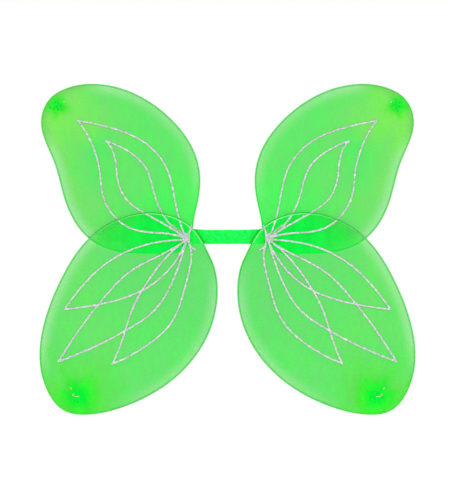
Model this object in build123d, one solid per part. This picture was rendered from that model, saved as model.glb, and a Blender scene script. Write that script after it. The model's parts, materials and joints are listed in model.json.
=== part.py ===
from build123d import *
import os
from math import radians, tan

# Dress-up fairy wings: four nylon-covered wire loops on a padded band.
#
# Frame: +X to the right of the decorated front, +Z up, +Y towards the wearer.
# The origin is the centre of the back pad's rear face, which rests on the wearer.
# Every outline is drawn for the right half as (outward, up) and mirrored.

# Band that joins the wings: padded fabric over a bendable flat stay
PAD_T = 2.5
PAD_W = 18.0
PAD_H = 14.0
PAD_ROUND = 3.0
BAND_T = 6.0
BAND_H = 18.7
BAND_END = 60.0
BAND_WALL = 0.8
BAND_ROUND = 2.4
STAY_T = 1.0
STAY_H = 10.0
STAY_END = 50.0
BATTING_GAP = 0.1

# Fold line on each side of the band, and half the length that bends there
FOLD_X = 20.0
FOLD_HALF = 3.4

# Wing build-up, back to front
LAYER_GAP = 0.8
NYLON_WALL = 0.3
WIRE_D = 1.8
FERRULE_D = 2.4
FERRULE_LENGTH = 10.0
WIRE_END_GAP = 0.5
CRIMP_GAP = 0.02
POCKET_T = FERRULE_D + 0.1
ENVELOPE_T = POCKET_T + 2 * NYLON_WALL
WIRE_INSET = NYLON_WALL + POCKET_T / 2
GLITTER_T = 0.6
GLITTER_W = 2.6
RUNNING_GAP = 0.4
SAMPLES_PER_POINT = 2

# Thread lashing that both wings of a side turn on
HUB = (53.7, -3.6)
TIE_R = 2.0
TIE_HOLE_R = 2.3
TIE_HEAD_R = 3.2
TIE_HEAD_T = 1.2
PATCH_AT = (55.6, -1.2)
PATCH_R = (4.2, 6.0)

# Knot of gathered nylon behind each wing's tip
KNOT_BASE_R = 9.0
KNOT_NECK_R = 3.2
KNOT_TAIL_R = 5.0
KNOT_CONE_T = 2.5
KNOT_NECK_T = 2.0
KNOT_TAIL_T = 2.5
TIE_WRAP_T = 1.6
TIE_WRAP_R = 4.4

# Elastic shoulder straps
STRAP_T = 1.0
STRAP_H = 8.0
STRAP_X = 13.0
STRAP_LEG = 0.6
STRAP_FLEX_Y = 2.0
ROOT_W = 2 * STRAP_LEG + STRAP_T
FLANGE_T = 0.8
FLANGE_END = 16.2
TACK_W = 1.5
TACK_MARGIN = 1.0
STRAP_CORNERS = [
    (12.4, 30), (25, 120), (38, 158), (54, 128), (44, 76), (22, 42), (13.6, 20),
]
CORNER_SHARE = 0.45

# Stitches
STITCH_L = 2.2
STITCH_W = 0.8
STITCH_T = 0.35
STITCH_PITCH = 1.5 * STITCH_L
SEAM_COUNT = 9
END_COUNT = 5
END_ROW_INSET = 1.6

# Depths along Y that the layers start from
BAND_BACK = -PAD_T
BAND_FRONT = BAND_BACK - BAND_T
BAND_MID = BAND_BACK - BAND_T / 2
UPPER_BACK = BAND_FRONT - LAYER_GAP
UPPER_FRONT = UPPER_BACK - ENVELOPE_T
LOWER_BACK = UPPER_FRONT - GLITTER_T - RUNNING_GAP
LOWER_FRONT = LOWER_BACK - ENVELOPE_T
TIE_FRONT = LOWER_FRONT - GLITTER_T - RUNNING_GAP

UPPER_OUTLINE = [
    (89.6, -23.0), (63.0, -19.5), (50.5, -11.5), (46.2, 0.0), (45.6, 13.0),
    (40.7, 40.1), (36.0, 75.0), (43.3, 111.7), (66.4, 147.7), (110.1, 183.7),
    (162.6, 202.4), (217.6, 196.4), (236.6, 183.7), (248.2, 154.5), (230.7, 98.3),
    (215.8, 45.8), (184.2, -3.0), (144.8, -20.4),
]
LOWER_OUTLINE = [
    (20.7, -31.1), (31.5, -8.8), (46.0, 11.6), (65.4, 24.4), (106.3, 32.1),
    (145.3, 23.3), (184.4, -2.1), (219.5, -52.5), (241.8, -107.1), (249.9, -155.7),
    (240.6, -202.4), (218.0, -230.7), (180.3, -236.1), (137.1, -226.0),
    (76.0, -193.2), (30.8, -141.1), (13.0, -79.8),
]
UPPER_TIP = (225.1, 175.0)
LOWER_TIP = (201.6, -207.5)

# Glitter lines, each from a leaf's tip to the hub, or past it along the rim, or stopping short
UPPER_LINES = [
    [(199, 154.5), (178.6, 119), (170, 87), (165, 52), (148.4, 24.9), (127, 10.6),
     (84.4, 4.5), HUB],
    [(199, 154.5), (151.9, 143.9), (109.2, 124.4), (82.5, 94.2), (71, 55), (61.3, 14.1),
     HUB],
    [(161.6, 127.1), (148.4, 95.9), (146.5, 78.1), (135.9, 51.4), (111.1, 31.9),
     (73.6, 10.6), HUB],
    [(161.6, 127.1), (130.6, 112.7), (109.2, 92.3), (97.7, 58.6), (86.1, 30.2),
     (73.6, 14.1)],
]
LOWER_LINES = [
    [(216.3, -96.4), (197.9, -72), (162.8, -37), (118, -13.6), (67.4, -4.3), HUB],
    [(216.3, -96.4), (190, -93.1), (145.3, -83.7), (106.3, -67.7), (77.1, -42.8), HUB],
    [(224.1, -165.6), (192, -116.8), (162.8, -79.8), (129.8, -46.8), (86.9, -23.4), HUB],
    [(224.1, -165.6), (174.5, -145.1), (133.6, -123.6), (96.6, -97.3), (73.3, -60.3), HUB],
    [(152.7, -168.5), (137.5, -130.5), (125.8, -95.5), (106.3, -60.3), (81.1, -27.3), HUB],
    [(152.7, -168.5), (102.4, -141.1), (71.3, -109), (55.7, -64.3), (48, -27.3),
     (48.8, -16.9), (51.2, -8.8), (50.9, -2.2), (50.5, 6.6), (48, 10.7)],
    [(43.1, -16.9), (47, -14.6), (51.2, -8.8)],
]


def at_depth(shape, y):
    """Put a flat drawing in the XZ plane at depth y."""
    return Plane.XZ.offset(-y) * shape


def forward(sketch, y_back, thickness):
    """Thicken a drawing from depth y_back towards the front."""
    return extrude(at_depth(sketch, y_back), amount=thickness)


def outline_curve(points, inset=0.0):
    """Closed smooth curve through the points, or the same curve moved inwards."""
    curve = Spline(*points, periodic=True)
    if not inset:
        return curve
    middle = make_face(curve).center()
    count = len(points) * SAMPLES_PER_POINT
    moved = []
    for step in range(count):
        share = step / count
        point = curve.position_at(share)
        along = curve.tangent_at(share)
        inward = Vector(-along.Y, along.X, 0)
        if inward.dot(middle - point) < 0:
            inward = inward * -1
        moved.append(point + inward * inset)
    return Spline(*moved, periodic=True)


def disc(centre, radius):
    return Pos(*centre) * Circle(radius)


def felt_pad():
    """Felt pad with rounded corners, its rear face plain."""
    pad = Pos(0, -PAD_T / 2) * Box(PAD_W, PAD_T, PAD_H)
    return fillet(pad.edges().filter_by(Axis.Y), PAD_ROUND)


def band_section(height, depth, radius):
    """Cross-section of the band, across YZ and centred on the band."""
    return Pos(BAND_MID, 0) * RectangleRounded(depth, height, radius)


def band_run(start, end, shrink=0.0):
    """Solid stretch of the band from start to end along X."""
    section = band_section(BAND_H - 2 * shrink, BAND_T - 2 * shrink, BAND_ROUND - shrink)
    return extrude(Plane.YZ.offset(start) * section, amount=end - start)


def stay_run(start, end):
    """Stretch of the flat stay from start to end along X."""
    section = Pos(BAND_MID, 0) * Rectangle(STAY_T, STAY_H)
    return extrude(Plane.YZ.offset(start) * section, amount=end - start)


def batting_run(start, end):
    """Padding around the stay, inside the band's cover."""
    filled = band_run(start, end, BAND_WALL + BATTING_GAP)
    slot = Pos(BAND_MID, 0) * Rectangle(STAY_T + 2 * BATTING_GAP, STAY_H + 2 * BATTING_GAP)
    return filled - extrude(Plane.YZ.offset(start) * slot, amount=end - start)


def sleeve_tube(start, end):
    return band_run(start, end) - band_run(start, end, BAND_WALL)


def arm_sleeve():
    """End of the band's cover, closed at its outer end."""
    start = FOLD_X + FOLD_HALF
    outer = band_run(start, BAND_END)
    rim = outer.faces().sort_by(Axis.X)[-1].edges()
    outer = fillet(rim, BAND_WALL)
    return outer - band_run(start, BAND_END - BAND_WALL, BAND_WALL)


def end_stitches():
    """Row of stitches that closes the sleeve's outer end."""
    row = GridLocations(0, STITCH_PITCH, 1, END_COUNT)
    marks = Sketch() + [spot * Rectangle(STITCH_W, STITCH_L) for spot in row]
    return forward(Pos(BAND_END - END_ROW_INSET, 0) * marks, BAND_FRONT, STITCH_T)


def seam_stitches():
    """Row of stitches along the band's lower edge."""
    row = GridLocations(STITCH_PITCH, 0, SEAM_COUNT, 1)
    marks = Sketch() + [spot * Rectangle(STITCH_L, STITCH_W) for spot in row]
    place = Plane.XY.offset(-BAND_H / 2) * Pos(0, BAND_MID)
    return extrude(place * marks, amount=-STITCH_T)


def hub_tie():
    """Thread lashing: foot on the sleeve, shank through both wings, head in front."""
    foot = forward(disc(HUB, TIE_HEAD_R), BAND_FRONT, STITCH_T)
    shank = forward(disc(HUB, TIE_R), BAND_FRONT, BAND_FRONT - TIE_FRONT)
    head = forward(disc(HUB, TIE_HEAD_R), TIE_FRONT, TIE_HEAD_T)
    return foot + shank + head


def knot(tip, back):
    """Nylon drawn together behind the tip: a cone, a neck and a tail."""
    place = Plane(origin=(tip[0], back, tip[1]), z_dir=(0, 1, 0))
    cone = Pos(0, 0, KNOT_CONE_T / 2) * Cone(KNOT_BASE_R, KNOT_NECK_R, KNOT_CONE_T)
    neck_mid = KNOT_CONE_T + KNOT_NECK_T / 2
    neck = Pos(0, 0, neck_mid) * Cylinder(KNOT_NECK_R, KNOT_NECK_T)
    tail_mid = KNOT_CONE_T + KNOT_NECK_T + KNOT_TAIL_T / 2
    tail = Pos(0, 0, tail_mid) * Cone(KNOT_NECK_R, KNOT_TAIL_R, KNOT_TAIL_T)
    return place * (cone + neck + tail)


def tip_tie(tip, back):
    """Thread wound round the knot's neck."""
    place = Plane(origin=(tip[0], back, tip[1]), z_dir=(0, 1, 0))
    ring = Circle(TIE_WRAP_R) - Circle(KNOT_NECK_R + CRIMP_GAP)
    start = KNOT_CONE_T + (KNOT_NECK_T - TIE_WRAP_T) / 2
    return place * Pos(0, 0, start) * extrude(ring, amount=TIE_WRAP_T)


def nylon_cover(points, tip, back):
    """Stretched nylon bag: front and back sheets and the rim round the wire."""
    outer = make_face(outline_curve(points))
    inner = make_face(outline_curve(points, NYLON_WALL))
    bag = forward(outer, back, ENVELOPE_T)
    bag -= forward(inner, back - NYLON_WALL, POCKET_T)
    bag += knot(tip, back)
    return bag - forward(disc(HUB, TIE_HOLE_R), back, ENVELOPE_T)


def wire_path(points, back):
    return at_depth(outline_curve(points, WIRE_INSET), back - ENVELOPE_T / 2)


def swept(section, path):
    """Run a section along a path that it starts square to."""
    return sweep(Plane(path @ 0, z_dir=path % 0) * section, path=path)


def frame_wire(points, back):
    """Loop of wire, its two ends meeting inside the ferrule."""
    path = wire_path(points, back)
    gap = WIRE_END_GAP / path.length
    return swept(Circle(WIRE_D / 2), path.trim(gap, 1 - gap))


def ferrule(points, back):
    """Crimped tube over the wire's ends, half of it on each side of the joint."""
    path = wire_path(points, back)
    half = FERRULE_LENGTH / 2 / path.length
    ring = Circle(FERRULE_D / 2) - Circle(WIRE_D / 2 + CRIMP_GAP)
    return swept(ring, path.trim(0, half)) + swept(ring, path.trim(1 - half, 1))


def line_band(points):
    """One glitter line, drawn as a band of constant width with round ends."""
    curve = Spline(*points) if len(points) > 2 else Line(*points)
    band = trace(curve, GLITTER_W)
    return band + disc(points[0], GLITTER_W / 2)


def glitter_drawing(lines):
    return Sketch() + [line_band(points) for points in lines]


def rounded_route(points):
    """Straight runs joined by arcs as large as the runs on either side allow."""
    places = [Vector(*point) for point in points]
    radii = []
    for before, here, after in zip(places, places[1:], places[2:]):
        turn = radians((here - before).get_angle(after - here))
        shorter = min((here - before).length, (after - here).length)
        radii.append(CORNER_SHARE * shorter / tan(turn / 2))
    return FilletPolyline(*points, radius=radii)


def strap_loop():
    """Flat elastic loop, both ends side by side at the sewn root."""
    start = (STRAP_X - STRAP_LEG, STRAP_FLEX_Y)
    finish = (STRAP_X + STRAP_LEG, STRAP_FLEX_Y)
    route = rounded_route([start, *STRAP_CORNERS, finish])
    print(f"strap loop {route.length:.1f} mm, root to root")
    return swept(Rectangle(STRAP_T, STRAP_H), route)


def strap_root():
    """Sewn end of the strap: both layers standing off a flange on the sleeve."""
    low = BAND_BACK
    upright = Pos(STRAP_X, (low + STRAP_FLEX_Y) / 2) * Box(ROOT_W, STRAP_FLEX_Y - low, STRAP_H)
    start = STRAP_X - ROOT_W / 2
    flange_mid = ((start + FLANGE_END) / 2, low + FLANGE_T / 2)
    return upright + Pos(*flange_mid) * Box(FLANGE_END - start, FLANGE_T, STRAP_H)


def strap_tack():
    """Bar tack that sews the strap's flange down."""
    root_face = STRAP_X + ROOT_W / 2
    middle = Pos((root_face + FLANGE_END) / 2, BAND_BACK + FLANGE_T + STITCH_T / 2)
    return middle * Box(TACK_W, STITCH_T, STRAP_H - 2 * TACK_MARGIN)


def both_sides(name, shape):
    """The right piece and its mirrored left twin."""
    return {f"right_{name}": shape, f"left_{name}": mirror(shape, about=Plane.YZ)}


def wing(name, points, tip, back, drawing):
    """The five pieces of one wing, on both sides."""
    front = back - ENVELOPE_T
    pieces = {}
    pieces.update(both_sides(f"{name}_frame_wire", frame_wire(points, back)))
    pieces.update(both_sides(f"{name}_wire_ferrule", ferrule(points, back)))
    pieces.update(both_sides(f"{name}_nylon_cover", nylon_cover(points, tip, back)))
    pieces.update(both_sides(f"{name}_tip_tie", tip_tie(tip, back)))
    pieces.update(both_sides(f"{name}_glitter_veins", forward(drawing, front, GLITTER_T)))
    return pieces


def build():
    """Every piece of the wings, by node name."""
    inner_end = FOLD_X - FOLD_HALF
    outer_end = FOLD_X + FOLD_HALF

    lower_face = make_face(outline_curve(LOWER_OUTLINE))
    lower_inside = make_face(outline_curve(LOWER_OUTLINE, GLITTER_W / 2))
    upper_drawing = glitter_drawing(UPPER_LINES)
    lower_drawing = glitter_drawing(LOWER_LINES) + (upper_drawing & lower_inside)
    lower_drawing += Pos(*PATCH_AT) * Ellipse(*PATCH_R)
    lower_drawing -= disc(HUB, TIE_HOLE_R)
    upper_drawing -= lower_face

    pieces = {
        "back_pad": felt_pad(),
        "centre_sleeve": sleeve_tube(-inner_end, inner_end),
        "centre_batting": batting_run(-inner_end, inner_end),
        "centre_stay": stay_run(-inner_end, inner_end),
        "sleeve_seam_stitches": seam_stitches(),
    }
    pieces.update(both_sides("sleeve_fold", sleeve_tube(inner_end, outer_end)))
    pieces.update(both_sides("stay_bend", stay_run(inner_end, outer_end)))
    pieces.update(both_sides("arm_sleeve", arm_sleeve()))
    pieces.update(both_sides("arm_batting", batting_run(outer_end, STAY_END)))
    pieces.update(both_sides("arm_stay", stay_run(outer_end, STAY_END)))
    pieces.update(both_sides("end_stitches", end_stitches()))
    pieces.update(both_sides("hub_tie", hub_tie()))
    pieces.update(both_sides("shoulder_strap", strap_loop()))
    pieces.update(both_sides("strap_root", strap_root()))
    pieces.update(both_sides("strap_tack", strap_tack()))
    pieces.update(wing("upper", UPPER_OUTLINE, UPPER_TIP, UPPER_BACK, upper_drawing))
    pieces.update(wing("lower", LOWER_OUTLINE, LOWER_TIP, LOWER_BACK, lower_drawing))
    return pieces


os.makedirs("parts", exist_ok=True)
for node, piece in build().items():
    export_step(piece, f"parts/{node}.step")
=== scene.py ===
import json
import math

import bmesh
import bpy
import numpy as np
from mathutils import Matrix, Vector


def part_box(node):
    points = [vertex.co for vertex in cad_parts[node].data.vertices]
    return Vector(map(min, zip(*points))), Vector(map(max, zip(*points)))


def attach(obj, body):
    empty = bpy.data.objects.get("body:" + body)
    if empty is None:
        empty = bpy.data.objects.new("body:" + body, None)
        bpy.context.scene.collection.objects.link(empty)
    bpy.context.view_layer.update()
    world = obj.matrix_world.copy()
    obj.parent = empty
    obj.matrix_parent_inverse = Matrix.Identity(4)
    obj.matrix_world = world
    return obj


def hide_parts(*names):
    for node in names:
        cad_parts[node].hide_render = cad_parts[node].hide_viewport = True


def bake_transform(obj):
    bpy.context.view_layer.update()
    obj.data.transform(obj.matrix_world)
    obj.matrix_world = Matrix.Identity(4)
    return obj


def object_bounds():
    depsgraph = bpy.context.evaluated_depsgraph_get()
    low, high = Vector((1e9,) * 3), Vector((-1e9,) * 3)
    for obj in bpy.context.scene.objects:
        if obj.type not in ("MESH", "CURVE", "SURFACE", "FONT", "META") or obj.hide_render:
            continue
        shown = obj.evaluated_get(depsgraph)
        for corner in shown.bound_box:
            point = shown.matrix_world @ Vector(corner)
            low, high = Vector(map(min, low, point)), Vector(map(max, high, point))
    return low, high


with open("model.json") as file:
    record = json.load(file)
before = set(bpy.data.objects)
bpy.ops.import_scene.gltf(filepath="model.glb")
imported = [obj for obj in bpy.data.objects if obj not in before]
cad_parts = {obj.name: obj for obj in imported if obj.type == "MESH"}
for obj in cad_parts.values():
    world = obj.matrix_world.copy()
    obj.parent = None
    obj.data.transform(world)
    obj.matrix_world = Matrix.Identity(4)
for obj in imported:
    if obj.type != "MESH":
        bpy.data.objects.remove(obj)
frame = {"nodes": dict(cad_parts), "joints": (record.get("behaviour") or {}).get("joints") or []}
CAD_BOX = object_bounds()
MM = 0.001
SIDES = (("right", 1.0), ("left", -1.0))

# Camera: level, straight at the decorated front
LENS = 100.0
SENSOR = 36.0
VIEW_HEIGHT = 0.6569
VIEW_CENTRE = (-0.0013, -0.0144)

# Nylon covers: how finely they are meshed
RIM_STEPS = 520
EDGE_STEPS = 800
SHEET_STEPS = 54
ARC_STEPS = 6
ROW_EASE = 1.35

# Nylon covers: depths of the two sheets, and the pleats that run to the hub
HUB_HOLE = 2.4 * MM
SHEET_GAP = 0.9 * MM
RIM_DIP = 9.0 * MM
HUB_PLEATS = 44
HUB_PLEAT_DEPTH = 0.35 * MM
HUB_PLEAT_REACH = 32 * MM
SHEET_DRIFT = 0.16 * MM

# Tied tips: the pleats, the neck under the thread and the cut frill behind it
TIP_PLEATS = 17
NECK_R = 3.1 * MM
NECK_RISE = 2.5 * MM
NECK_LENGTH = 2.0 * MM
FRILL_R = 6.0 * MM
FRILL_RISE = 2.6 * MM
FRILL_STEPS = 7

# Middle of the dense patch beside each tip, as (outward, up) from the knot
TIP_SHIFT = {"upper": (1.2 * MM, 0.0), "lower": (-5.0 * MM, -5.5 * MM)}

# Glitter: raised lines, and flakes over them
BEAD_VOXEL = 0.45 * MM
FLAKES_PER_WING = 4600
FLAKE_SIZE = (0.2 * MM, 0.4 * MM)
FLAKE_LIFT = 0.12 * MM

# Glitter at the hub: the patch that the green shows through, and the loose cluster of flakes
HUB_PATCH = (6.0 * MM, 8.0 * MM)
HUB_FLAKES = 420
HUB_SPREAD = (4.4 * MM, 7.0 * MM)
HUB_SHIFT = (1.5 * MM, 2.0 * MM)
HUB_HEIGHT = (0.75 * MM, 0.2 * MM)

# Loose flakes beside the hub, as (start, end, count, spread) from the middle of the band, in mm
TRAILS = [((73, 15), (60, 4.5), 190, 0.8), ((48.7, 12.4), (48.3, 11), 150, 1.2)]

# Threads
THREAD_R = 0.3 * MM
STITCH_R = 0.45 * MM
STITCH_RISE = 0.55 * MM
LASHING_SHANK_R = 1.4 * MM
LASHING_TURNS = 14
LASHING_STITCHES = 9
TAIL_LENGTH = 5.5 * MM
TAIL_DROOP = 1.6 * MM

# Padded band: its tube, how much it swells and widens, and the dent and painted shadow along the wires that
# cross it
BAND_ROWS = 96
BAND_COLUMNS = 72
BAND_VOXEL = 1.25 * MM
BAND_SWELL = 0.55 * MM
BAND_FLARE = 1.9 * MM
FLARE_START = 22 * MM
BAND_PUCKERS = 17
DENT_AND_SHADOW_REACH = 1.8 * MM
PRESS_DEPTH = 0.3 * MM

# Cloth that the band's cover is blown up as
SIM_SCALE = 10.0
SIM_FRAMES = 18
CLOTH = {
    "quality": 6,
    "mass": 0.3,
    "tension_stiffness": 12.0,
    "compression_stiffness": 12.0,
    "shear_stiffness": 6.0,
    "bending_stiffness": 0.3,
    "shrink_min": -0.07,
    "use_pressure": True,
    "uniform_pressure_force": 2.5,
}

# Felt pad and the stitches round its edge
PAD_CROWN = 0.8 * MM
PAD_EDGE = 1.6 * MM
PAD_NAP = 0.07 * MM
PAD_INSET = 1.4 * MM
PAD_STITCH_REACH = 2.2 * MM
PAD_STITCH_LEAN = 0.5 * MM
PAD_THREAD_R = 0.22 * MM

# Batting
TUFT_SIZE = 5 * MM
TUFT_DEPTH = 0.22 * MM

# Elastic shoulder straps, as (outward, back) from one sewn end round the loop to the other, in mm
STRAP_ROUTE = [
    (16.1, -2.1), (14.1, -2.1), (13.6, -1.3), (13.6, 20), (22, 42), (44, 76), (54, 128),
    (38, 158), (25, 120), (12.4, 30), (12.4, -1.3), (12.4, -2.2),
]
STRAP_STEP = 0.8
STRAP_RIBS = 9
RIB_COLUMNS = 5
PICK_LENGTH = 0.8


# ---- mesh helpers
def placed(name, data):
    """New object with the given data, linked to the scene."""
    made = bpy.data.objects.new(name, data)
    bpy.context.scene.collection.objects.link(made)
    return made


def new_mesh(name, points, faces, smooth=True):
    """Object from points and faces."""
    mesh = bpy.data.meshes.new(name)
    mesh.from_pydata([tuple(map(float, p)) for p in points], [], faces)
    mesh.update()
    if smooth:
        mesh.polygons.foreach_set("use_smooth", [True] * len(mesh.polygons))
    return placed(name, mesh)


def grid_faces(rows, columns, start=0, flip=False):
    """Quads between rings of points, each ring's last column joined to its first."""
    faces = []
    for row in range(rows - 1):
        for column in range(columns):
            a = start + row * columns + column
            b = start + row * columns + (column + 1) % columns
            quad = (a, b, b + columns, a + columns)
            faces.append(quad[::-1] if flip else quad)
    return faces


def tube_faces(rows, columns, start=0, flip=False):
    """Faces of a tube of rings, with a flat face at both ends."""
    first = tuple(range(start, start + columns))
    last = tuple(k + (rows - 1) * columns for k in first)
    ends = [first, last[::-1]] if flip else [first[::-1], last]
    return grid_faces(rows, columns, start, flip) + ends


def read_vectors(items, key):
    """One row of three numbers per item of a mesh."""
    flat = np.zeros(len(items) * 3)
    items.foreach_get(key, flat)
    return flat.reshape(-1, 3)


def read_points(mesh):
    return read_vectors(mesh.vertices, "co")


def read_normals(mesh):
    return read_vectors(mesh.vertex_normals, "vector")


def write_points(mesh, points):
    mesh.vertices.foreach_set("co", points.ravel())
    mesh.update()


def points_of(node):
    return read_points(frame["nodes"][node].data)


def centre_of(low, high):
    """Middle of a box seen from the front, as (x, z)."""
    return np.array([(low.x + high.x) / 2, (low.z + high.z) / 2])


def applied(made):
    """Make the object's modifiers part of its mesh."""
    graph = bpy.context.evaluated_depsgraph_get()
    shape = bpy.data.meshes.new_from_object(made.evaluated_get(graph))
    made.modifiers.clear()
    made.data = shape
    shape.polygons.foreach_set("use_smooth", [True] * len(shape.polygons))
    return made


def remeshed(made, voxel, soften):
    """Even mesh over the same shape, its edges rounded."""
    even = made.modifiers.new("even", "REMESH")
    even.mode = "VOXEL"
    even.voxel_size = voxel
    soft = made.modifiers.new("soft", "SMOOTH")
    soft.factor = 0.5
    soft.iterations = soften
    return applied(made)


def smoothstep(low, high, value):
    """0 below low, 1 above high, smooth between."""
    share = np.clip((value - low) / (high - low), 0, 1)
    return share * share * (3 - 2 * share)


def fade(low, high, value):
    """1 below low, 0 above high, smooth between."""
    return 1 - smoothstep(low, high, value)


def paint(made, name, colours):
    """Store one colour per point of the mesh."""
    layer = made.data.color_attributes.new(name, "FLOAT_COLOR", "POINT")
    rgba = np.ones((len(colours), 4), np.float32)
    rgba[:, :3] = colours
    layer.data.foreach_set("color", rgba.ravel())


def store(made, name, values):
    """Store one number per point of the mesh."""
    layer = made.data.attributes.new(name, "FLOAT", "POINT")
    layer.data.foreach_set("value", np.asarray(values, np.float32))


def wave_noise(points, scale, seed, octaves=4):
    """Smooth noise, mostly between -1 and 1, as a sum of seeded sine waves."""
    draw = np.random.default_rng(seed)
    total = np.zeros(len(points))
    weight = 0.0
    for octave in range(octaves):
        size = 2.0**octave
        for _ in range(5):
            direction = draw.normal(size=points.shape[1])
            direction /= np.linalg.norm(direction)
            phase = draw.uniform(0, 2 * math.pi)
            wave = np.sin(points @ direction * 2 * math.pi * size / scale + phase)
            total += wave / size
        weight += math.sqrt(5 / 2) / size
    return total / weight


def tube_mesh(path, radius, sides, start):
    """Points and faces of a round thread along a path, closed at both ends."""
    along = np.gradient(path, axis=0)
    along /= np.linalg.norm(along, axis=1)[:, None]
    across = np.cross(along[0], [0.31, 0.52, 0.79])
    turns = np.arange(sides) / sides * 2 * math.pi
    rings = []
    for place, direction in zip(path, along):
        across = across - direction * (across @ direction)
        across /= np.linalg.norm(across)
        other = np.cross(direction, across)
        rings.append(place + radius * (np.outer(np.cos(turns), across) + np.outer(np.sin(turns), other)))
    return np.vstack(rings), tube_faces(len(path), sides, start)


def threads(name, paths, radius, sides=8):
    """One object of several round threads."""
    points, faces, count = [], [], 0
    for path in paths:
        ring_points, ring_faces = tube_mesh(np.asarray(path, float), radius, sides, count)
        points.append(ring_points)
        faces += ring_faces
        count += len(ring_points)
    return new_mesh(name, np.vstack(points), faces)


def smooth_route(points, rounds):
    """Smooth line that keeps the ends and cuts inside the corners."""
    line = np.asarray(points, float)
    for _ in range(rounds):
        near = line[:-1] * 0.75 + line[1:] * 0.25
        far = line[:-1] * 0.25 + line[1:] * 0.75
        cut = np.empty((2 * len(near), line.shape[1]))
        cut[0::2], cut[1::2] = near, far
        line = np.vstack([line[:1], cut, line[-1:]])
    return line


def even_steps(line, step):
    """Points at even steps along a line."""
    length = np.concatenate([[0], np.cumsum(np.linalg.norm(np.diff(line, axis=0), axis=1))])
    places = np.linspace(0, length[-1], int(length[-1] / step) + 1)
    return np.column_stack([np.interp(places, length, line[:, k]) for k in range(line.shape[1])])


def srgb(red, green, blue):
    """Linear colour from a display colour of 0 to 255."""
    values = np.array([red, green, blue]) / 255
    return np.where(values <= 0.04045, values / 12.92, ((values + 0.055) / 1.055) ** 2.4)


def colour(red, green, blue):
    return (*[float(c) for c in srgb(red, green, blue)], 1.0)


# ---- materials
# Scales of noise, cells and waves are repeats per metre.
class Shader:
    """A node material around one Principled shader."""

    def __init__(self, name):
        self.material = bpy.data.materials.new(name)
        self.material.use_nodes = True
        self.nodes = self.material.node_tree.nodes
        self.links = self.material.node_tree.links
        self.main = self.nodes["Principled BSDF"]

    def set(self, **values):
        for key, value in values.items():
            self.main.inputs[key.replace("_", " ")].default_value = value
        return self

    def node(self, kind, inputs=None, **settings):
        made = self.nodes.new(kind)
        for key, value in settings.items():
            setattr(made, key, value)
        for key, value in (inputs or {}).items():
            self.feed(made.inputs[key], value)
        return made

    def feed(self, socket, value):
        if isinstance(value, bpy.types.NodeSocket):
            self.links.new(value, socket)
        else:
            socket.default_value = value

    def attribute(self, name, output="Color"):
        return self.node("ShaderNodeAttribute", attribute_name=name).outputs[output]

    def place(self, scale=(1, 1, 1)):
        coordinates = self.node("ShaderNodeTexCoord").outputs["Object"]
        mapping = self.node("ShaderNodeMapping", {"Vector": coordinates, "Scale": scale})
        return mapping.outputs["Vector"]

    def noise(self, scale, detail=3.0, stretch=(1, 1, 1)):
        inputs = {"Vector": self.place(stretch), "Scale": scale, "Detail": detail}
        return self.node("ShaderNodeTexNoise", inputs).outputs["Fac"]

    def cells(self, scale, output):
        inputs = {"Vector": self.place(), "Scale": scale}
        return self.node("ShaderNodeTexVoronoi", inputs).outputs[output]

    def spread(self, value, low, high, to_low, to_high):
        inputs = {"Value": value, "From Min": low, "From Max": high}
        inputs.update({"To Min": to_low, "To Max": to_high})
        return self.node("ShaderNodeMapRange", inputs).outputs["Result"]

    def math(self, operation, first, second=0.0):
        made = self.node("ShaderNodeMath", operation=operation)
        self.feed(made.inputs[0], first)
        self.feed(made.inputs[1], second)
        return made.outputs[0]

    def mix(self, factor, first, second, blend="MIX"):
        made = self.node("ShaderNodeMix", data_type="RGBA", blend_type=blend)
        self.feed(made.inputs[0], factor)
        self.feed(made.inputs[6], first)
        self.feed(made.inputs[7], second)
        return made.outputs[2]

    def tint(self, value):
        self.feed(self.main.inputs["Base Color"], value)

    def bump(self, height, strength, distance):
        inputs = {"Height": height, "Strength": strength, "Distance": distance}
        self.feed(self.main.inputs["Normal"], self.node("ShaderNodeBump", inputs).outputs[0])


def nylon_material():
    """Sheer stocking knit: painted tint and density, fine wales, streaks, dark gathers at the tips."""
    shader = Shader("sheer_nylon").set(Roughness=0.7, Specular_IOR_Level=0.06)
    grain = shader.noise(520.0, 4.0)
    streaks = shader.noise(70.0, 4.0, (1, 1, 0.4))
    knit = {"Vector": shader.place(), "Scale": 420.0, "Distortion": 3.0, "Detail": 2.0}
    wales = shader.node("ShaderNodeTexWave", knit)
    shade = shader.math("MULTIPLY", shader.spread(streaks, 0.3, 0.7, 0.95, 1.05),
                        shader.spread(grain, 0.3, 0.7, 0.965, 1.035))
    cloth = shader.mix(1.0, shader.attribute("tint"), shade, "MULTIPLY")
    specks = shader.spread(shader.noise(430.0, 5.0), 0.53, 0.6, 0.0, 1.0)
    dark = shader.math("MULTIPLY", specks, shader.attribute("gather", "Fac"))
    shader.tint(shader.mix(dark, cloth, (*TINTS["speck"], 1.0)))
    loose = shader.math("ADD", shader.spread(streaks, 0.3, 0.7, -0.03, 0.03),
                        shader.spread(grain, 0.3, 0.7, -0.02, 0.02))
    density = shader.math("ADD", shader.attribute("nylon_density", "Fac"), loose)
    shader.feed(shader.main.inputs["Alpha"], shader.math("MAXIMUM", density, dark))
    shader.bump(wales.outputs["Fac"], 0.12, 0.0002)
    return shader.material


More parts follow.
